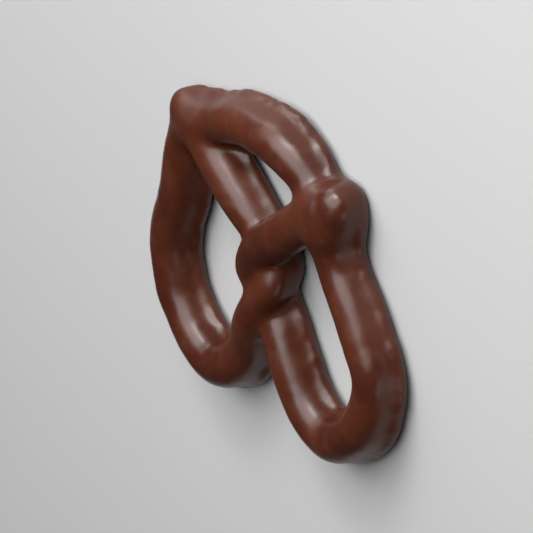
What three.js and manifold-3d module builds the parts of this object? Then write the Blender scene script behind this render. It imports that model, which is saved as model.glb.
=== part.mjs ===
// A chocolate covered pretzel: one rope of dough, twisted into three holes and dipped whole.
//
// It lies on its flat back, where the chocolate set in a low foot. Millimetres, +Z up.
// +X runs across both lobes, +Y from the bottom arc to the lobes. The origin is on the
// underside, in the middle of the outline.

import * as THREE from 'three';
import { mergeVertices } from 'three/addons/utils/BufferGeometryUtils.js';
import Module from 'manifold-3d';

// Driving dimensions. The coating ran down and set in a skirt that is wider than the rope.
const PRETZEL_WIDTH = 75;
const PRETZEL_HEIGHT = 64;
const ROPE_WIDTH = 8.1;
const ROPE_THICKNESS = 8.8;
const FOOT_WIDTH = 10.7;

// The section of the coated rope: round above its belly, squarer below.
const BELLY_SHARE = 0.53;
const ROUND_POWER = 2;
const SQUARE_POWER = 4.2;
const SQUARE_FROM = 0.8;
const FOOT_SINK = 0.4;

// The skirt: the height where it is widest, and how far it reaches above and below that.
const SKIRT_HEIGHT = 2.0;
const SKIRT_SPREAD = 1.8;
const RIM_SPREAD = 1.3;

// The skirt is whole where the rope lies on the floor, and gone where it is lifted and at a tip.
const FLOOR_LIFT = 0.3;
const SKIRT_GONE_LIFT = 1.6;
const SKIRT_FROM_TIP = 6;

// The twist in the middle and the two ends, which are pressed onto the corners of the arc.
const UPPER_CROSSING_Y = 6.5;
const LOWER_CROSSING_Y = -3.5;
const TWIST_BULGE = 2.8;
const CROSSING_LIFT = 3.0;
const KNUCKLE_LIFT = 0.3;
const TIP_ROUND = 4.6;

// Facets.
const SECTION_SIDES = 22;
const RING_SPACING = 2.0;
const TIP_RINGS = 5;
const CURVE_DIVISIONS = 4000;

const CHOCOLATE = { color: '#4b2318', roughness: 0.38, metalness: 0 };

const sideX = (PRETZEL_WIDTH - FOOT_WIDTH) / 2;
const lobeY = (PRETZEL_HEIGHT - FOOT_WIDTH) / 2;
const bottomY = -lobeY;

// Places where the coated rope is fuller or thinner than its named size. A share of 0.1 is a
// tenth wider and thicker.
const LUMPS = [
  { name: 'arc belly', x: -6, y: bottomY + 0.5, reach: 7, share: 0.09 },
  { name: 'front neck', x: -14.5, y: bottomY + 4.6, reach: 4, share: -0.08 },
  { name: 'front tip', x: -23.1, y: bottomY + 5.2, reach: 3, share: -0.05 },
  { name: 'back tip', x: 23.4, y: bottomY + 4.3, reach: 3, share: -0.03 },
  { name: 'back neck', x: 15.5, y: bottomY + 4.2, reach: 4, share: -0.08 },
  { name: 'leg start', x: -21.5, y: bottomY + 11.5, reach: 4, share: 0.08 },
  { name: 'front leg', x: -24, y: bottomY + 17.7, reach: 7, share: -0.04 },
  { name: 'front lobe', x: -24, y: bottomY + 46.7, reach: 9, share: 0.04 },
  { name: 'back lobe', x: 17, y: bottomY + 53.4, reach: 9, share: 0.05 },
];

// The pinch of each crossing, where both strands are flattened against each other.
const PINCHES = [UPPER_CROSSING_Y, LOWER_CROSSING_Y].map((y) => (
  { name: 'crossing', x: 0, y, reach: 6, share: -0.15 }
));

// Places where only the crown above the belly is lower.
const PRESSES = [
  { name: 'back knuckle', x: 27, y: bottomY + 5, reach: 7, share: -0.26 },
];

// Places where the skirt is wider.
const SPILLS = [
  { name: 'back pinch', x: 16.6, y: bottomY + 4.8, reach: 3, share: 0.6 },
];

// The rope's centre line, from the photo. Each side of the loop starts beside the middle of the
// bottom arc, turns at the corner where an end of the rope lies on it, and opens out into a lobe.
// Its points are the distance from the middle and the height above the arc's lowest point.
const frontSide = {
  side: -1,
  arc: [[6.5, 0.1], [11.4, 2.0], [15.3, 5.4]],
  corner: [19.6, 8.6],
  leg: [[20.6, 13.4], [22.2, 18.4], [26.1, 23.9], [29.6, 29.4]],
};
const backSide = {
  side: 1,
  arc: [[6.4, 0.8], [10.6, 2.3], [15, 4.2], [20, 5.8]],
  corner: [24.4, 9.6],
  leg: [[26, 14.5], [27.2, 20], [28.8, 24.5], [30.8, 29.4]],
};
const LOBE_TOP_X = 17.5;
const LOBE_SIDE_Y = 9;

function halfLoop({ side, arc, corner, leg }) {
  const lower = [...arc, corner, ...leg].map(([x, rise]) => [x, bottomY + rise]);
  const lobe = [
    [sideX, LOBE_SIDE_Y],
    [sideX - 2.4, LOBE_SIDE_Y + 9],
    [sideX - 8.2, lobeY - 2.4],
  ];
  return [...lower, ...lobe].map(([x, y]) => new THREE.Vector3(x * side, y, 0));
}

const lobeTop = (side) => new THREE.Vector3(LOBE_TOP_X * side, lobeY, 0);

// The rope from beside the top of a lobe, through the twist, to its end on a corner. Its points
// are x, y and the lift of the rope's underside above the floor.
function strand({ side, upperLift, lowerLift, tip }) {
  const twistY = (UPPER_CROSSING_Y + LOWER_CROSSING_Y) / 2;
  const twistLift = (upperLift + lowerLift) / 2;
  return [
    [LOBE_TOP_X - 6.3, lobeY - 2.9, 0],
    [LOBE_TOP_X - 11.1, lobeY - 9.2, 0],
    [3.3, UPPER_CROSSING_Y + 5.3, upperLift * 0.6],
    [0, UPPER_CROSSING_Y, upperLift],
    [-TWIST_BULGE, twistY, twistLift],
    [0, LOWER_CROSSING_Y, lowerLift],
    [6, LOWER_CROSSING_Y - 5.1, lowerLift * 0.7],
    [tip.x - 10.5, tip.y + 7.4, (lowerLift + KNUCKLE_LIFT) / 3],
    [tip.x - 4.4, tip.y + 3.2, KNUCKLE_LIFT],
    [tip.x, tip.y, KNUCKLE_LIFT],
  ].map(([x, y, lift]) => new THREE.Vector3(x * side, y, lift));
}

const frontStrand = {
  side: -1,
  upperLift: 0,
  lowerLift: CROSSING_LIFT,
  tip: { x: 26.8, y: bottomY + 2.5 },
};
const backStrand = {
  side: 1,
  upperLift: CROSSING_LIFT,
  lowerLift: 0,
  tip: { x: 27.9, y: bottomY + 2.1 },
};

const frontStrandPoints = strand(frontStrand).reverse();
const backStrandPoints = strand(backStrand);

// The whole rope, from the front tip round both lobes to the back tip.
const ropePoints = [
  ...frontStrandPoints,
  lobeTop(-1),
  ...halfLoop(frontSide).reverse(),
  new THREE.Vector3(0, bottomY, 0),
  ...halfLoop(backSide),
  lobeTop(1),
  ...backStrandPoints,
];
const frontLobeTop = frontStrandPoints.length;
const backLobeTop = ropePoints.length - backStrandPoints.length - 1;

const smoothStep = (value) => THREE.MathUtils.smoothstep(value, 0, 1);

// The shares of all the places together at a point of the centre line.
function bumps(point, places) {
  let total = 0;
  for (const place of places) {
    const away = Math.hypot(point.x - place.x, point.y - place.y) / place.reach;
    total += place.share * Math.exp(-away * away);
  }
  return total;
}

// How much of the skirt the rope has at a point, by its lift and its distance from the nearer tip.
function skirtShare(point, fromTip) {
  const lifted = smoothStep((point.z - FLOOR_LIFT) / (SKIRT_GONE_LIFT - FLOOR_LIFT));
  return (1 - lifted) * smoothStep(fromTip / SKIRT_FROM_TIP) * (1 + bumps(point, SPILLS));
}

// How far the skirt stands out beyond the rope at a height above the floor.
function skirtReach(height) {
  const fromWidest = height - SKIRT_HEIGHT;
  const away = fromWidest / (fromWidest > 0 ? SKIRT_SPREAD : RIM_SPREAD);
  return ((FOOT_WIDTH - ROPE_WIDTH) / 2) * Math.exp(-away * away);
}

// The share of its width that the section still has this share of the way below its belly.
function lowerShare(fall, skirt) {
  const square = (SQUARE_POWER - ROUND_POWER) * Math.min(skirt, 1);
  const power = ROUND_POWER + square * smoothStep(fall / SQUARE_FROM);
  return Math.max(1 - fall ** power, 0) ** (1 / power);
}

// One ring of the rope's surface around a point of the centre line.
function sectionRing(point, tangent, fromTip, roundness) {
  const across = new THREE.Vector3(tangent.y, -tangent.x, 0).normalize();
  const share = 1 + bumps(point, LUMPS) + bumps(point, PINCHES);
  const halfWidth = (ROPE_WIDTH / 2) * share;
  const belly = ROPE_THICKNESS * BELLY_SHARE * share;
  const crown = ROPE_THICKNESS * (1 - BELLY_SHARE) * (share + bumps(point, PRESSES));
  const skirt = skirtShare(point, fromTip);
  const ring = [];
  for (let k = 0; k < SECTION_SIDES; k += 1) {
    const angle = (2 * Math.PI * k) / SECTION_SIDES;
    const cos = Math.cos(angle);
    const sin = Math.sin(angle);
    const depth = sin > 0 ? crown : belly + FOOT_SINK;
    const height = belly + depth * sin * roundness;
    const wide = halfWidth + skirt * skirtReach(point.z + height);
    const reach = wide * (sin > 0 ? cos : Math.sign(cos) * lowerShare(-sin, skirt));
    ring.push(new THREE.Vector3(
      point.x + across.x * reach * roundness,
      point.y + across.y * reach * roundness,
      point.z + height,
    ));
  }
  return ring;
}

const ropeCurve = new THREE.CatmullRomCurve3(ropePoints);
ropeCurve.arcLengthDivisions = CURVE_DIVISIONS;
const lengths = ropeCurve.getLengths(CURVE_DIVISIONS);
const ropeLength = lengths[CURVE_DIVISIONS];

// The rope's length up to one of its points.
function lengthAt(pointIndex) {
  return lengths[Math.round((CURVE_DIVISIONS * pointIndex) / (ropePoints.length - 1))];
}

// Stations at an even spacing, with the first and last exactly on the ends of the stretch.
function evenStations(start, end) {
  const steps = Math.round((end - start) / RING_SPACING);
  const stations = [];
  for (let i = 0; i <= steps; i += 1) {
    stations.push({ along: start + ((end - start) * i) / steps, roundness: 1 });
  }
  return stations;
}

// Closer stations that round off a tip, from its full section outwards.
function tipStations(tip, inwards) {
  const stations = [];
  for (let i = 1; i < TIP_RINGS; i += 1) {
    const angle = (Math.PI / 2) * (i / TIP_RINGS);
    const fromTip = TIP_ROUND * (1 - Math.sin(angle));
    stations.push({ along: tip + inwards * fromTip, roundness: Math.cos(angle) });
  }
  return stations;
}

function ringAt({ along, roundness }) {
  const point = ropeCurve.getPointAt(along / ropeLength);
  const tangent = ropeCurve.getTangentAt(along / ropeLength);
  const fromTip = Math.min(along, ropeLength - along) - TIP_ROUND;
  return sectionRing(point, tangent, fromTip, roundness);
}

function ringCentre(ring) {
  const centre = new THREE.Vector3();
  for (const vertex of ring) {
    centre.add(vertex);
  }
  return centre.divideScalar(ring.length);
}

// A closed skin over the rings, with a fan at each end.
function skinOver(rings) {
  const sides = SECTION_SIDES;
  const vertices = rings.flat();
  const first = vertices.length;
  const last = first + 1;
  const startOfLastRing = (rings.length - 1) * sides;
  vertices.push(ringCentre(rings[0]), ringCentre(rings[rings.length - 1]));
  const indices = [];
  for (let k = 0; k < sides; k += 1) {
    const next = (k + 1) % sides;
    for (let i = 0; i < rings.length - 1; i += 1) {
      const low = i * sides;
      const high = low + sides;
      indices.push(low + k, high + k, low + next);
      indices.push(low + next, high + k, high + next);
    }
    indices.push(first, k, next);
    indices.push(last, startOfLastRing + next, startOfLastRing + k);
  }
  const geometry = new THREE.BufferGeometry().setFromPoints(vertices);
  geometry.setIndex(indices);
  return geometry;
}

const wasm = await Module();
wasm.setup();

function toSolid(geometry) {
  const bare = geometry.clone();
  bare.deleteAttribute('normal');
  bare.deleteAttribute('uv');
  const merged = mergeVertices(bare);
  return new wasm.Manifold(new wasm.Mesh({
    numProp: 3,
    vertProperties: new Float32Array(merged.attributes.position.array),
    triVerts: new Uint32Array(merged.index.array),
  }));
}

function toGeometry(solid) {
  const mesh = solid.getMesh();
  const geometry = new THREE.BufferGeometry();
  geometry.setAttribute('position', new THREE.BufferAttribute(mesh.vertProperties, 3));
  geometry.setIndex(new THREE.BufferAttribute(mesh.triVerts, 1));
  geometry.computeVertexNormals();
  return geometry;
}

// The block that the floor cuts away, so that the pretzel lies on one flat face.
function belowFloor() {
  const depth = 10;
  const block = new THREE.BoxGeometry(PRETZEL_WIDTH * 2, PRETZEL_HEIGHT * 2, depth);
  block.translate(0, 0, -depth / 2);
  return block;
}

// The rope crosses itself, so it is joined from three stretches that meet at the lobe tops.
function pretzelGeometry() {
  const loopStart = lengthAt(frontLobeTop);
  const loopEnd = lengthAt(backLobeTop);
  const stretches = [
    [...tipStations(0, 1).reverse(), ...evenStations(TIP_ROUND, loopStart)],
    evenStations(loopStart, loopEnd),
    [...evenStations(loopEnd, ropeLength - TIP_ROUND), ...tipStations(ropeLength, -1)],
  ];
  const solid = stretches
    .map((stations) => toSolid(skinOver(stations.map(ringAt))))
    .reduce((joined, stretch) => joined.add(stretch))
    .subtract(toSolid(belowFloor()));
  return toGeometry(solid);
}

const pretzel = new THREE.Mesh(
  pretzelGeometry(),
  new THREE.MeshStandardMaterial({ ...CHOCOLATE, flatShading: true }),
);
pretzel.name = 'pretzel';

const group = new THREE.Group();
group.add(pretzel);

export default group;
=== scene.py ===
"""The look of a chocolate covered pretzel: one rope of dough, twisted and dipped whole.

The rope is a field of distances to its centre line, grown in Geometry Nodes. It lies on its flat
back on a pale floor, in soft studio light. Lengths in the tables are in millimetres.
"""

import math

import bpy
from mathutils import Matrix, Vector


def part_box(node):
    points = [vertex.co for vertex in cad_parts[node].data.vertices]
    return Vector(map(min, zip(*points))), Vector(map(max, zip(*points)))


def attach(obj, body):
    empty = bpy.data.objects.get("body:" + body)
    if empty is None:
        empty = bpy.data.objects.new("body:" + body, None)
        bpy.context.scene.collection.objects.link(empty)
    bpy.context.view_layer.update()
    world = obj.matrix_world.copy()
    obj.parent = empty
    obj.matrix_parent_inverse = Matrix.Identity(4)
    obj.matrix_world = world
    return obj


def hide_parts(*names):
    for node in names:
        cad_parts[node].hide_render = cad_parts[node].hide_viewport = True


bl_info = {
    "name": "Chocolate covered pretzel",
    "version": (1, 0, 0),
    "blender": (4, 5, 0),
    "location": "3D View > Sidebar > Pretzel",
    "description": "Grows a dipped pretzel from the centre line of its rope",
    "category": "Object",
}

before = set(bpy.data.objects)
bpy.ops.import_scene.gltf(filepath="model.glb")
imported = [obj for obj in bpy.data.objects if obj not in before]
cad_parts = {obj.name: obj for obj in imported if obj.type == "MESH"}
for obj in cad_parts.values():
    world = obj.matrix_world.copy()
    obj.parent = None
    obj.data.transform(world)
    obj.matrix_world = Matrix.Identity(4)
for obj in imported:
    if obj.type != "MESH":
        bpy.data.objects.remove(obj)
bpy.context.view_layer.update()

MM = 0.001
NODE = "pretzel"
BODY = "root"

# The rope's path: the twist in the middle, the two ends on the arc, and the lobes. A tip has its
# distance from the middle and its rise over the arc. The centre line stops short of it, so that
# the coating's round end comes out there.
UPPER_CROSSING_Y = 6.5
LOWER_CROSSING_Y = -3.5
FRONT_TIP = (26.8, 2.5)
BACK_TIP = (27.9, 2.1)
TIP_ROUND = 4.6
KNUCKLE_LIFT = 0.3
LOBE_TOP_X = 17.5
LOBE_SIDE_Y = 9

# A lobe's shoulder: in from its side, and y. Its corner: in from its side, and down from its top.
LOBE_SHOULDER = (2.4, 18)
LOBE_CORNER = (8.2, 2.4)

# The strand between these places, set out from the lobe's top, the nearer crossing and the tip.
# The points above and below the twist also have their share of that crossing's lift.
FROM_LOBE = [(-6.3, -2.9), (-11.1, -9.2)]
OVER_TWIST = (3.3, 5.3, 0.6)
UNDER_TWIST = (6, -5.1, 0.7)
TO_TIP = [(-10.5, 7.4), (-4.4, 3.2)]

# The centre line has three stretches that don't cross themselves, and is a ribbon too thin to see.
STEPS_PER_SPAN = 24
STRETCHES = 3
THREAD = 0.01

# The section of the coated rope: round above its belly, squarer below where it lies on the floor.
BELLY_SHARE = 0.53
FOOT_SINK = 0.4
ROUND_POWER = 2.0
SQUARE_POWER = 4.2
SQUARE_FROM = 0.8
FOOT_EDGE = 0.5

# The skirt: the height where it is widest, and how far it reaches above and below that.
SKIRT_HEIGHT = 2.0
SKIRT_SPREAD = 1.8
RIM_SPREAD = 1.3
RIM_UNEVENNESS = 0.9
RIM_WAVE = 3.6

# The skirt is whole where the rope lies on the floor, and gone where it is lifted and at a tip.
FLOOR_LIFT = 0.3
SKIRT_GONE_LIFT = 1.6
SKIRT_FROM_TIP = 6

# The corners between strands are filled up to the lobes, more beside the knuckles, and most
# under the front knuckle, where it runs on into the leg.
FILLED_UP_TO_Y = (14, 20)
KNUCKLE_FILL_Y = (-10, -16)
KNUCKLE_FILL = 1.6
LEG_FILL = 1.6
LEG_FILL_PLACE = (-24, -15.5)
LEG_FILL_REACH = (6, 5.5)

# The dough's lumps and the coating's ripples. They grow in between the two heights of the fade.
LUMP_SIZE = 9.0
RIPPLE_SIZE = 3.2
RIPPLE_HEIGHT = 0.02
UNEVEN_FADE = (0.2, 1.6)

# The soft noise keeps within about a quarter of 1 on either side of its middle, so the gain makes
# that 1. The seed and a pattern's own number move it to another place.
NOISE_GAIN = 4
NOISE_MIDDLE = 0.5
SEED_STRIDE = 3.7
PATTERN_SLANT = 1.3
LUMP_PATTERN = 3.0
RIPPLE_PATTERN = 5.0
RIM_PATTERN = 11.0

# The skin is evened out a little, its lowest part is pressed flat, and it has room to grow in.
EVENING_ROUNDS = 2
FLAT_BACK = (0.02, 0.10)
GROWING_ROOM = 1.5

# The coating's patterns: size in millimetres, detail and distortion.
PATTERNS = {
    "clouds": (11.0, 3.0, 0.0),
    "wisps": (3.4, 4.0, 0.6),
    "grain": (0.42, 3.0, 0.0),
    "ripples": (2.6, 3.0, 0.0),
    "fine ripples": (0.9, 2.0, 0.0),
}
PATTERN_ROUGHNESS = 0.55
CLOUD_EDGE = (0.32, 0.68)
WISP_EDGE = (0.45, 0.75)

# What the patterns do: to the colour, to the roughness, and to the relief in millimetres. The
# glossiest chocolate, where no pattern is, lies this much under the set roughness.
WARM_CLOUDS = 0.75
HAZE_COLOUR = (0.11, 0.050, 0.035, 1.0)
HAZE = {"wisps": 0.10, "grain": 0.08}
GLOSSIEST = -0.06
DULLER = {"clouds": 0.07, "wisps": 0.06, "grain": 0.06}
RELIEF = {"ripples": 0.018, "fine ripples": 0.006, "grain": 0.003}
CHOCOLATE_IOR = 1.43

# Places where the coating set glossier or duller, by what they add to its roughness.
GLOSS = [
    {"name": "front knuckle", "x": -25, "y": -24, "reach": 4.5, "rough": -0.03},
    {"name": "back knuckle", "x": 23, "y": -24.5, "reach": 5.5, "rough": 0.14},
]

# The camera stands where the photo's stands, in line with the part.
CAMERA_PLACE = (-792.7, -488.6, 516.6)
PICTURE_UP = (0.358, -0.891, -0.278)
SENSOR_WIDTH = 36.0
CLIPPING = (0.05, 30.0)

# The floor's half side in metres, and the light of the empty room.
FLOOR_HALF = 6.0
FLOOR_ROUGHNESS = 0.75
SKY_STRENGTH = 0.06

# Soft lights: name, azimuth and elevation in degrees, size in metres, power in watts.
LIGHT_DISTANCE = 0.7
LIGHTS = [
    ("softbox", -108, 47, (0.90, 0.72), 10.3),
    ("wing", -60, 34, (0.60, 0.50), 1.9),
    ("low strip", -50, 7, (0.36, 0.14), 1.0),
    ("spark", -94, 24, (0.32, 0.13), 2.4),
    ("front fill", 160, 10, (0.34, 0.24), 0.35),
]


# ---------------------------------------------------------------- node boards


class Wire:
    """A socket that can be used in sums."""

    def __init__(self, board, socket):
        self.board = board
        self.socket = socket

    def _sum(self, operation, *values):
        """The outcome of one sum, as a new socket."""
        return self.board.math(operation, *values)

    def __add__(self, other):
        return self._sum("ADD", self, other)

    def __radd__(self, other):
        return self._sum("ADD", other, self)

    def __sub__(self, other):
        return self._sum("SUBTRACT", self, other)

    def __rsub__(self, other):
        return self._sum("SUBTRACT", other, self)

    def __mul__(self, other):
        return self._sum("MULTIPLY", self, other)

    def __rmul__(self, other):
        return self._sum("MULTIPLY", other, self)

    def __truediv__(self, other):
        return self._sum("DIVIDE", self, other)

    def __rtruediv__(self, other):
        return self._sum("DIVIDE", other, self)

    def __pow__(self, other):
        return self._sum("POWER", self, other)

    def __neg__(self):
        return self._sum("MULTIPLY", self, -1.0)


class Board:
    """A node tree that is built one node at a time."""

    def __init__(self, tree):
        self.tree = tree

    def node(self, kind, settings=None, sockets=None, out=0):
        """Makes a node. Its settings come first, then the values or links of its sockets."""
        made = self.tree.nodes.new(kind)
        for name, value in (settings or {}).items():
            setattr(made, name, value)
        for key, value in (sockets or {}).items():
            self._feed(self._input(made, key), value)
        return Wire(self, made.outputs[out]) if len(made.outputs) else made

    def math(self, operation, *values):
        """A sum with numbers."""
        return self.node("ShaderNodeMath", {"operation": operation}, dict(enumerate(values)))

    def vector(self, operation, *values):
        """A sum with vectors."""
        return self.node("ShaderNodeVectorMath", {"operation": operation}, dict(enumerate(values)))

    def parts(self, vector):
        """The three numbers of a vector."""
        made = self.node("ShaderNodeSeparateXYZ", sockets={0: vector}).socket.node
        return [Wire(self, output) for output in made.outputs]

    def joined(self, x, y, z):
        """A vector from three numbers."""
        return self.node("ShaderNodeCombineXYZ", sockets={0: x, 1: y, 2: z})

    def ease(self, value, start, end, low=0.0, high=1.0):
        """Goes smoothly from low at start to high at end."""
        return self.node("ShaderNodeMapRange", {"interpolation_type": "SMOOTHERSTEP"}, {
            "Value": value, "From Min": start, "From Max": end, "To Min": low, "To Max": high})

    def hill(self, value, middle, reach):
        """A bell of height 1 around the middle."""
        away = (value - middle) / reach
        return self.math("EXPONENT", -(away * away))

    @staticmethod
    def _input(made, key):
        """A node's input by its number, its identifier or its name."""
        if isinstance(key, int):
            return made.inputs[key]
        for socket in made.inputs:
            if socket.identifier == key:
                return socket
        return made.inputs[key]

    def _feed(self, socket, value):
        """Links a wire to the socket, or sets its constant."""
        if isinstance(value, Wire):
            self.tree.links.new(value.socket, socket)
        else:
            socket.default_value = value


# ---------------------------------------------------------------- settings


class PretzelSettings(bpy.types.PropertyGroup):
    """Sizes and colours of the dipped pretzel."""

    width: bpy.props.FloatProperty(
        name="Width", description="Outline across both lobes", default=74.9 * MM, unit="LENGTH")
    height: bpy.props.FloatProperty(
        name="Height", description="Outline from the arc to the lobes",
        default=63.9 * MM, unit="LENGTH")
    rope_width: bpy.props.FloatProperty(
        name="Rope Width", description="Coated rope across", default=8.1 * MM, unit="LENGTH")
    rope_thickness: bpy.props.FloatProperty(
        name="Rope Thickness", description="Coated rope from foot to crest",
        default=8.8 * MM, unit="LENGTH")
    foot_width: bpy.props.FloatProperty(
        name="Foot Width", description="Across the rim where the coating set",
        default=10.7 * MM, unit="LENGTH")
    crossing_lift: bpy.props.FloatProperty(
        name="Crossing Lift", description="Lift of the strand on top of a crossing",
        default=3.0 * MM, unit="LENGTH")
    twist_bulge: bpy.props.FloatProperty(
        name="Twist Bulge", description="How far the strands bow out between the crossings",
        default=2.8 * MM, unit="LENGTH")
    fillet: bpy.props.FloatProperty(
        name="Fillet", description="How widely the coating fills the corners between strands",
        default=2.4 * MM, unit="LENGTH")
    lump_height: bpy.props.FloatProperty(
        name="Lump Height", description="Unevenness of the dough under the coating",
        default=0.15 * MM, unit="LENGTH")
    detail: bpy.props.FloatProperty(
        name="Detail", description="Size of the mesh's faces", default=0.38 * MM, unit="LENGTH")
    seed: bpy.props.IntProperty(
        name="Seed", description="Pattern of the lumps", default=7)
    deep_colour: bpy.props.FloatVectorProperty(
        name="Deep Colour", description="Thick chocolate", subtype="COLOR", size=4,
        default=(0.040, 0.0077, 0.0028, 1.0), min=0, max=1)
    warm_colour: bpy.props.FloatVectorProperty(
        name="Warm Colour", description="Thin chocolate over the dough", subtype="COLOR", size=4,
        default=(0.065, 0.0146, 0.0054, 1.0), min=0, max=1)
    roughness: bpy.props.FloatProperty(
        name="Roughness", description="Satin of the coating",
        default=0.35, min=0, max=1, subtype="FACTOR")


class StageSettings(bpy.types.PropertyGroup):
    """The floor, the lights and the camera."""

    floor_colour: bpy.props.FloatVectorProperty(
        name="Floor Colour", description="Plain pale floor", subtype="COLOR", size=4,
        default=(0.40, 0.40, 0.40, 1.0), min=0, max=1)
    view_height: bpy.props.FloatProperty(
        name="View Height", description="Height of the picture at the pretzel",
        default=94.0 * MM, unit="LENGTH")


# ---------------------------------------------------------------- the rope's path

# Places where the coated rope is fuller or thinner than its size, by a share of it.
LUMPS = [
    {"name": "arc belly", "x": -6, "rise": 0.5, "reach": 7, "share": 0.09},
    {"name": "front neck", "x": -14.5, "rise": 4.6, "reach": 4, "share": -0.08},
    {"name": "front tip", "x": -23.1, "rise": 5.2, "reach": 3, "share": -0.05},
    {"name": "back tip", "x": 23.4, "rise": 4.3, "reach": 3, "share": -0.03},
    {"name": "back neck", "x": 15.5, "rise": 4.2, "reach": 4, "share": -0.08},
    {"name": "leg start", "x": -21.5, "rise": 11.5, "reach": 4, "share": 0.06},
    {"name": "front leg", "x": -24, "rise": 17.7, "reach": 7, "share": -0.04},
    {"name": "front lobe", "x": -24, "rise": 46.7, "reach": 9, "share": 0.04},
    {"name": "back lobe", "x": 17, "rise": 53.4, "reach": 9, "share": 0.05},
]

# The pinch of each crossing, where both strands are flattened against each other.
PINCHES = [
    {"name": "crossing", "x": 0, "rise": y, "reach": 6, "share": -0.15}
    for y in (UPPER_CROSSING_Y, LOWER_CROSSING_Y)
]

# Places where only the crown above the belly is pressed down.
PRESSES = [
    {"name": "back knuckle", "x": 27, "rise": 5, "reach": 7, "share": -0.26},
]

# Places where the coating ran out into a wider foot.
FEET = [
    {"name": "back pinch", "x": 16.6, "rise": 4.8, "reach": 3, "share": 0.6},
]

# Each side of the loop from beside the middle of the arc: distance from the middle, and rise.
FRONT_SIDE = [
    (6.5, 0.1), (11.4, 2.0), (15.3, 5.4), (19.6, 8.6),
    (20.6, 13.4), (22.2, 18.4), (26.1, 23.9), (29.6, 29.4),
]
BACK_SIDE = [
    (6.4, 0.8), (10.6, 2.3), (15, 4.2), (20, 5.8), (24.4, 9.6),
    (26, 14.5), (27.2, 20), (28.8, 24.5), (30.8, 29.4),
]


def rope_points(settings):
    """The centre line's points from the front tip to the back tip, and where its stretches part."""
    side_x = (settings.width - settings.foot_width) / 2 / MM
    lobe_y = (settings.height - settings.foot_width) / 2 / MM
    bottom_y = -lobe_y
    lift = settings.crossing_lift / MM
    bulge = settings.twist_bulge / MM

    def half_loop(side, lower):
        """One side of the loop, from beside the middle of the arc up to the lobe's corner."""
        lobe = [
            (side_x, LOBE_SIDE_Y),
            (side_x - LOBE_SHOULDER[0], LOBE_SHOULDER[1]),
            (side_x - LOBE_CORNER[0], lobe_y - LOBE_CORNER[1]),
        ]
        line = [(x, bottom_y + rise) for x, rise in lower] + lobe
        return [Vector((x * side, y, 0)) for x, y in line]

    def strand(side, upper_lift, lower_lift, tip):
        """A strand from its lobe through both crossings to its tip."""
        tip_x, tip_y = tip[0], bottom_y + tip[1]
        twist_y = (UPPER_CROSSING_Y + LOWER_CROSSING_Y) / 2
        landing = [(tip_x + x, tip_y + y) for x, y in TO_TIP]
        line = [
            *[(LOBE_TOP_X + x, lobe_y + y, 0) for x, y in FROM_LOBE],
            (OVER_TWIST[0], UPPER_CROSSING_Y + OVER_TWIST[1], upper_lift * OVER_TWIST[2]),
            (0, UPPER_CROSSING_Y, upper_lift),
            (-bulge, twist_y, (upper_lift + lower_lift) / 2),
            (0, LOWER_CROSSING_Y, lower_lift),
            (UNDER_TWIST[0], LOWER_CROSSING_Y + UNDER_TWIST[1], lower_lift * UNDER_TWIST[2]),
            (*landing[0], (lower_lift + KNUCKLE_LIFT) / 3),
            (*landing[1], KNUCKLE_LIFT),
            (tip_x, tip_y, KNUCKLE_LIFT),
        ]
        return [Vector((x * side, y, z)) for x, y, z in line]

    front_strand = strand(-1, 0, lift, FRONT_TIP)[::-1]
    back_strand = strand(1, lift, 0, BACK_TIP)
    loop = [*half_loop(-1, FRONT_SIDE)[::-1], Vector((0, bottom_y, 0)), *half_loop(1, BACK_SIDE)]
    tops = [Vector((side * LOBE_TOP_X, lobe_y, 0)) for side in (-1, 1)]
    points = [*front_strand, tops[0], *loop, tops[1], *back_strand]
    parts = [len(front_strand), len(points) - len(back_strand) - 1]
    return points, parts, bottom_y


def through(points):
    """A smooth line through the points, with the same number of steps in each span."""
    padded = [points[0] * 2 - points[1], *points, points[-1] * 2 - points[-2]]
    line = []
    for i in range(1, len(padded) - 2):
        p0, p1, p2, p3 = padded[i - 1:i + 3]
        d0, d1, d2 = (math.sqrt((b - a).length) for a, b in ((p0, p1), (p1, p2), (p2, p3)))
        leave = ((p1 - p0) / d0 - (p2 - p0) / (d0 + d1) + (p2 - p1) / d1) * d1
        arrive = ((p2 - p1) / d1 - (p3 - p1) / (d1 + d2) + (p3 - p2) / d2) * d1
        square = (p2 - p1) * 3 - leave * 2 - arrive
        cube = (p1 - p2) * 2 + leave + arrive
        for step in range(STEPS_PER_SPAN):
            t = step / STEPS_PER_SPAN
            line.append(p1 + leave * t + square * t * t + cube * t * t * t)
    line.append(points[-1])
    return line


def smooth(share):
    """Eases a share between 0 and 1."""
    share = min(max(share, 0), 1)
    return share * share * (3 - 2 * share)


def bumps(point, places, level):
    """The shares of all places together at a point of the centre line."""
    total = 0
    for place in places:
        away = math.hypot(point.x - place["x"], point.y - level - place["rise"]) / place["reach"]
        total += place["share"] * math.exp(-away * away)
    return total


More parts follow.
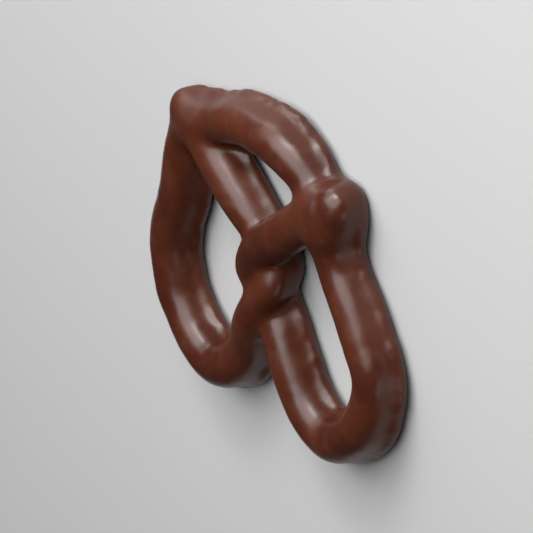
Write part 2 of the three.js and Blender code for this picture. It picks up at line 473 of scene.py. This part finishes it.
def centre_line_object(settings):
    """The rope's centre line as a line of edges, in three stretches that don't cross themselves."""
    points, parts, bottom_y = rope_points(settings)
    line = through(points)
    parts = [part * STEPS_PER_SPAN for part in parts]
    belly = settings.rope_thickness * BELLY_SHARE
    length = [0]
    for a, b in zip(line, line[1:]):
        length.append(length[-1] + (b - a).length)
    verts, edges, stretch, full, tall, footing = [], [], [], [], [], []
    for number, (start, end) in enumerate(zip([0, *parts], [*parts, len(line) - 1])):
        first = len(verts)
        for i in range(start, end + 1):
            to_tip = min(length[i], length[-1] - length[i]) - TIP_ROUND
            if to_tip < 0:
                continue
            share = 1 + bumps(line[i], LUMPS, bottom_y) + bumps(line[i], PINCHES, 0)
            verts.append((line[i].x * MM, line[i].y * MM, line[i].z * MM + belly * share))
            stretch.append(number)
            full.append(share)
            tall.append(share + bumps(line[i], PRESSES, bottom_y))
            lying = smooth((line[i].z - SKIRT_GONE_LIFT) / (FLOOR_LIFT - SKIRT_GONE_LIFT))
            rest = lying * smooth(to_tip / SKIRT_FROM_TIP)
            footing.append(rest * (1 + bumps(line[i], FEET, bottom_y)))
        edges += [(i, i + 1) for i in range(first, len(verts) - 1)]
    mesh = bpy.data.meshes.new("rope_line")
    mesh.from_pydata(verts, edges, [])
    for name, kind, values in (
            ("stretch", "INT", stretch), ("fullness", "FLOAT", full),
            ("tallness", "FLOAT", tall), ("footing", "FLOAT", footing)):
        mesh.attributes.new(name, kind, "POINT").data.foreach_set("value", values)
    made = bpy.data.objects.new("chocolate_pretzel", mesh)
    bpy.context.scene.collection.objects.link(made)
    return made


# ---------------------------------------------------------------- the coated rope


def rope_tree():
    """Grows the coated rope from its centre line: a field of distances, turned into one skin."""
    tree = bpy.data.node_groups.new("coated_rope", "GeometryNodeTree")
    board = Board(tree)
    names = {}

    def entry(name, kind, value=None):
        """A named input of the tree."""
        socket = tree.interface.new_socket(
            name=name, in_out="INPUT", socket_type="NodeSocket" + kind)
        if value is not None:
            socket.default_value = value
        names[name] = socket.identifier

    entry("Geometry", "Geometry")
    for name in ("Rope Width", "Rope Thickness", "Foot Width", "Fillet", "Lump Height", "Detail"):
        entry(name, "Float")
    entry("Lump Size", "Float", LUMP_SIZE * MM)
    entry("Ripple Height", "Float", RIPPLE_HEIGHT * MM)
    entry("Ripple Size", "Float", RIPPLE_SIZE * MM)
    entry("Low Corner", "Vector")
    entry("High Corner", "Vector")
    entry("Seed", "Int")
    entry("Material", "Material")
    tree.interface.new_socket(name="Geometry", in_out="OUTPUT", socket_type="NodeSocketGeometry")
    given = tree.nodes.new("NodeGroupInput")

    def value_of(name):
        """The wire of a named input."""
        return Wire(board, next(s for s in given.outputs if s.identifier == names[name]))

    place = board.node("GeometryNodeInputPosition")
    across_x, across_y, height = board.parts(place)

    # The centre line as a thin ribbon, so that the nearest place on it can be asked for.
    thread = board.node("GeometryNodeCurvePrimitiveLine", sockets={
        "Start": (0, -THREAD * MM, 0), "End": (0, THREAD * MM, 0)})
    curve = board.node("GeometryNodeMeshToCurve", sockets={0: value_of("Geometry")})
    ribbon = board.node("GeometryNodeCurveToMesh", sockets={0: curve, 1: thread})

    def stored(name, kind):
        """An attribute that the centre line carries."""
        return board.node("GeometryNodeInputNamedAttribute", {"data_type": kind}, {"Name": name})

    number = stored("stretch", "INT")
    full = stored("fullness", "FLOAT")
    tall = stored("tallness", "FLOAT")
    footing = stored("footing", "FLOAT")

    def noise(size, pattern):
        """Soft noise around 0. Each pattern is a noise of its own."""
        seed = value_of("Seed") * SEED_STRIDE + pattern
        moved = board.vector("ADD", place, board.joined(seed, pattern * PATTERN_SLANT, 0.0))
        made = board.node("ShaderNodeTexNoise", {}, {
            "Vector": moved, "Scale": 1.0 / size, "Detail": 2.0, "Roughness": 0.5})
        return made - NOISE_MIDDLE

    def ease_over(value, band, start=0.0, end=1.0):
        """Goes smoothly from start to end over a band in millimetres."""
        return board.ease(value, band[0] * MM, band[1] * MM, start, end)

    half_width = value_of("Rope Width") / 2
    belly = value_of("Rope Thickness") * BELLY_SHARE
    crown = value_of("Rope Thickness") * (1 - BELLY_SHARE)
    down = belly + FOOT_SINK * MM

    # The skirt is a bell around its height, wider above than below, with an uneven rim.
    uneven = 1.0 + RIM_UNEVENNESS * noise(RIM_WAVE * MM, RIM_PATTERN)
    over = board.math("MAXIMUM", height - SKIRT_HEIGHT * MM, 0.0) / (SKIRT_SPREAD * MM)
    under = board.math("MINIMUM", height - SKIRT_HEIGHT * MM, 0.0) / (RIM_SPREAD * MM)
    skirt = board.hill(over + under, 0.0, 1.0) * (value_of("Foot Width") / 2 - half_width) * uneven

    def strand_field(stretch):
        """Signed distance to the skin of one stretch, less than 0 inside."""

        def nearest(value, kind="FLOAT"):
            """The value at the nearest place on this stretch."""
            return board.node("GeometryNodeSampleNearestSurface", {"data_type": kind}, {
                "Mesh": ribbon, "Value": value, "Group ID": number, "Sample Position": place,
                "Sample Group ID": stretch})

        x, y, z = board.parts(board.vector("SUBTRACT", place, nearest(place, "FLOAT_VECTOR")))
        spread = nearest(footing)
        sideways = board.math("SQRT", x * x + y * y)
        wide = half_width * nearest(full)
        rise = board.math("MAXIMUM", z, 0.0) / (crown * nearest(tall))
        fall = board.math("MAXIMUM", -z, 0.0) / down
        upright = rise + fall
        square = board.math("MINIMUM", spread, 1.0) * (SQUARE_POWER - ROUND_POWER) + ROUND_POWER
        power = board.ease(fall, 0.0, SQUARE_FROM, ROUND_POWER, square)
        flat = sideways / (wide + skirt * spread)
        return ((flat ** power + upright ** power) ** (1.0 / power) - 1.0) * wide

    # The stretches run together into one skin, with the corners between them filled.
    beside_leg = board.hill(across_x, LEG_FILL_PLACE[0] * MM, LEG_FILL_REACH[0] * MM)
    along_leg = board.hill(across_y, LEG_FILL_PLACE[1] * MM, LEG_FILL_REACH[1] * MM)
    fillet = value_of("Fillet") * ease_over(across_y, FILLED_UP_TO_Y, 1.0, 0.0)
    fillet = fillet * ease_over(across_y, KNUCKLE_FILL_Y, 1.0, KNUCKLE_FILL)
    fillet = fillet * (1.0 + LEG_FILL * beside_leg * along_leg)
    fields = [strand_field(stretch) for stretch in range(STRETCHES)]
    skin = fields[0]
    for field in fields[1:]:
        skin = board.math("SMOOTH_MIN", skin, field, fillet)
    skin = board.math("SMOOTH_MAX", skin, -height, FOOT_EDGE * MM)

    span = board.vector("SUBTRACT", value_of("High Corner"), value_of("Low Corner"))
    counts = [length / value_of("Detail") + 1 for length in board.parts(span)]
    volume = board.node("GeometryNodeVolumeCube", sockets={
        "Density": skin / -MM, "Background": -1.0,
        "Min": value_of("Low Corner"), "Max": value_of("High Corner"),
        "Resolution X": counts[0], "Resolution Y": counts[1], "Resolution Z": counts[2]})
    mesh = board.node("GeometryNodeVolumeToMesh", sockets={
        "Volume": volume, "Threshold": 0.0, "Adaptivity": 0.0})
    even = board.node("GeometryNodeBlurAttribute", {"data_type": "FLOAT_VECTOR"}, {
        "Value": place, "Iterations": EVENING_ROUNDS, "Weight": 1.0})
    mesh = board.node("GeometryNodeSetPosition", sockets={"Geometry": mesh, "Position": even})

    # The dough's lumps and the coating's ripples, which fade out towards the flat back.
    normal = board.node("GeometryNodeInputNormal")
    lumps = noise(value_of("Lump Size"), LUMP_PATTERN) * value_of("Lump Height") * NOISE_GAIN
    ripples = noise(value_of("Ripple Size"), RIPPLE_PATTERN)
    ripples = ripples * value_of("Ripple Height") * NOISE_GAIN
    out = (lumps + ripples) * ease_over(height, UNEVEN_FADE)
    push = board.vector("MULTIPLY", normal, board.joined(out, out, out))
    mesh = board.node("GeometryNodeSetPosition", sockets={"Geometry": mesh, "Offset": push})
    settled = ease_over(height, FLAT_BACK) * height
    flat_back = board.joined(across_x, across_y, board.math("MAXIMUM", settled, 0.0))
    mesh = board.node("GeometryNodeSetPosition", sockets={"Geometry": mesh, "Position": flat_back})
    mesh = board.node("GeometryNodeSetShadeSmooth", sockets={"Geometry": mesh})
    mesh = board.node("GeometryNodeRealizeInstances", sockets={"Geometry": mesh})
    mesh = board.node("GeometryNodeSetMaterial", sockets={
        "Geometry": mesh, "Material": value_of("Material")})
    result = tree.nodes.new("NodeGroupOutput")
    tree.links.new(mesh.socket, result.inputs[0])
    return tree, names


def plain_mesh(made):
    """Turns the object's evaluated result into its own mesh, with no modifier left."""
    ready = made.evaluated_get(bpy.context.evaluated_depsgraph_get())
    mesh = bpy.data.meshes.new_from_object(ready)
    made.modifiers.clear()
    made.data = mesh
    mesh.name = made.name


# ---------------------------------------------------------------- the chocolate


def mix_colour(board, share, first, second):
    """The first colour with a share of the second in it."""
    return board.node("ShaderNodeMix", {"data_type": "RGBA"}, {
        "Factor_Float": share, "A_Color": first, "B_Color": second}, out=2)


def chocolate(settings):
    """Dark chocolate set to a satin, a little uneven in colour and gloss."""
    material = bpy.data.materials.new("dark_chocolate")
    material.use_nodes = True
    material.node_tree.nodes.clear()
    board = Board(material.node_tree)
    place = board.node("ShaderNodeTexCoord", out="Object")

    def noise(name):
        """One of the coating's patterns, from 0 to 1."""
        size, detail, distortion = PATTERNS[name]
        return board.node("ShaderNodeTexNoise", {}, {
            "Vector": place, "Scale": 1.0 / (size * MM), "Detail": detail,
            "Roughness": PATTERN_ROUGHNESS, "Distortion": distortion})

    clouds = board.ease(noise("clouds"), *CLOUD_EDGE)
    wisps = board.ease(noise("wisps"), *WISP_EDGE)
    grain = noise("grain")
    speck = grain - NOISE_MIDDLE

    deep, warm = tuple(settings.deep_colour), tuple(settings.warm_colour)
    colour = mix_colour(board, clouds * WARM_CLOUDS, deep, warm)
    haze = wisps * HAZE["wisps"] + speck * HAZE["grain"]
    colour = mix_colour(board, haze, colour, HAZE_COLOUR)

    rough = settings.roughness + GLOSSIEST + clouds * DULLER["clouds"]
    rough = rough + wisps * DULLER["wisps"] + speck * DULLER["grain"]
    across_x, across_y = board.parts(place)[:2]
    for spot in GLOSS:
        reach = spot["reach"] * MM
        near_x = board.hill(across_x, spot["x"] * MM, reach)
        near_y = board.hill(across_y, spot["y"] * MM, reach)
        rough = rough + near_x * near_y * spot["rough"]

    relief = noise("ripples") * RELIEF["ripples"] + noise("fine ripples") * RELIEF["fine ripples"]
    relief = relief + grain * RELIEF["grain"]
    normal = board.node("ShaderNodeBump", {}, {"Strength": 1.0, "Distance": MM, "Height": relief})
    shader = board.node("ShaderNodeBsdfPrincipled", {}, {
        "Base Color": colour, "Roughness": rough, "Normal": normal, "IOR": CHOCOLATE_IOR})
    board.node("ShaderNodeOutputMaterial", {}, {"Surface": shader})
    return material


# ---------------------------------------------------------------- operators


class PRETZEL_OT_dip(bpy.types.Operator):
    """Grow the rope from its centre line and coat it in chocolate"""

    bl_idname = "pretzel.dip"
    bl_label = "Dip Pretzel"

    def execute(self, context):
        settings = context.scene.pretzel
        made = centre_line_object(settings)
        tree, names = rope_tree()
        growth = made.modifiers.new("coated_rope", "NODES")
        growth.node_group = tree
        low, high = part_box(NODE)
        room = Vector((GROWING_ROOM, GROWING_ROOM, GROWING_ROOM)) * MM
        for name, value in {
            "Rope Width": settings.rope_width,
            "Rope Thickness": settings.rope_thickness,
            "Foot Width": settings.foot_width,
            "Fillet": settings.fillet,
            "Lump Height": settings.lump_height,
            "Detail": settings.detail,
            "Low Corner": low - room,
            "High Corner": high + room,
            "Seed": settings.seed,
            "Material": chocolate(settings),
        }.items():
            growth[names[name]] = value
        plain_mesh(made)
        if not made.data.polygons:
            raise RuntimeError("the rope has no faces")
        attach(made, BODY)
        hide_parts(NODE)
        return {"FINISHED"}


def area_light(name, place, aim, size, power):
    """An oblong soft light that faces the aim."""
    data = bpy.data.lights.new(name, "AREA")
    data.shape = "RECTANGLE"
    data.size, data.size_y = size
    data.energy = power
    made = bpy.data.objects.new(name, data)
    made.location = place
    made.rotation_euler = (aim - place).to_track_quat("-Z", "Y").to_euler()
    bpy.context.scene.collection.objects.link(made)


class PRETZEL_OT_stage(bpy.types.Operator):
    """Set up the floor, the soft lights and the camera"""

    bl_idname = "pretzel.stage"
    bl_label = "Set Stage"

    def execute(self, context):
        settings = context.scene.pretzel_stage
        scene = context.scene
        mesh = bpy.data.meshes.new("floor")
        round_about = ((-1, -1), (1, -1), (1, 1), (-1, 1))
        corners = [(x * FLOOR_HALF, y * FLOOR_HALF, 0) for x, y in round_about]
        mesh.from_pydata(corners, [], [(0, 1, 2, 3)])
        material = bpy.data.materials.new("pale_floor")
        material.use_nodes = True
        material.node_tree.nodes.clear()
        board = Board(material.node_tree)
        shader = board.node("ShaderNodeBsdfPrincipled", {}, {
            "Base Color": tuple(settings.floor_colour), "Roughness": FLOOR_ROUGHNESS})
        board.node("ShaderNodeOutputMaterial", {}, {"Surface": shader})
        mesh.materials.append(material)
        floor = bpy.data.objects.new("floor", mesh)
        scene.collection.objects.link(floor)

        world = bpy.data.worlds.new("studio")
        world.use_nodes = True
        world.node_tree.nodes.clear()
        board = Board(world.node_tree)
        sky = board.node("ShaderNodeBackground", {}, {
            "Color": (1.0, 1.0, 1.0, 1.0), "Strength": SKY_STRENGTH})
        board.node("ShaderNodeOutputWorld", {}, {"Surface": sky})
        scene.world = world

        low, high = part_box(NODE)
        aim = (low + high) / 2
        for name, azimuth, elevation, size, power in LIGHTS:
            turn, rise = math.radians(azimuth), math.radians(elevation)
            level = math.cos(rise)
            way = Vector((math.cos(turn) * level, math.sin(turn) * level, math.sin(rise)))
            area_light(name, aim + way * LIGHT_DISTANCE, aim, size, power)
        scene.view_settings.view_transform = "Standard"

        place = Vector(CAMERA_PLACE) * MM
        forward = (aim - place).normalized()
        right = forward.cross(Vector(PICTURE_UP)).normalized()
        up = right.cross(forward)
        data = bpy.data.cameras.new("camera")
        data.sensor_width = SENSOR_WIDTH
        distance = (aim - place).length
        data.lens = data.sensor_width * distance / settings.view_height
        data.clip_start, data.clip_end = CLIPPING
        camera = bpy.data.objects.new("camera", data)
        turned = Matrix((right, up, -forward)).transposed().to_4x4()
        camera.matrix_world = Matrix.Translation(place) @ turned
        scene.collection.objects.link(camera)
        scene.camera = camera
        return {"FINISHED"}


class PRETZEL_PT_sidebar(bpy.types.Panel):
    """The pretzel's sizes and its two buttons"""

    bl_label = "Chocolate Pretzel"
    bl_space_type = "VIEW_3D"
    bl_region_type = "UI"
    bl_category = "Pretzel"

    def draw(self, context):
        for group in (context.scene.pretzel, context.scene.pretzel_stage):
            for name in group.bl_rna.properties.keys():
                if name not in ("rna_type", "name"):
                    self.layout.prop(group, name)
        self.layout.operator(PRETZEL_OT_dip.bl_idname)
        self.layout.operator(PRETZEL_OT_stage.bl_idname)


CLASSES = (PretzelSettings, StageSettings, PRETZEL_OT_dip, PRETZEL_OT_stage, PRETZEL_PT_sidebar)


def register():
    for made in CLASSES:
        bpy.utils.register_class(made)
    bpy.types.Scene.pretzel = bpy.props.PointerProperty(type=PretzelSettings)
    bpy.types.Scene.pretzel_stage = bpy.props.PointerProperty(type=StageSettings)


def unregister():
    del bpy.types.Scene.pretzel_stage
    del bpy.types.Scene.pretzel
    for made in reversed(CLASSES):
        bpy.utils.unregister_class(made)


def main():
    register()
    bpy.ops.pretzel.dip()
    bpy.ops.pretzel.stage()


if __name__ == "__main__":
    main()
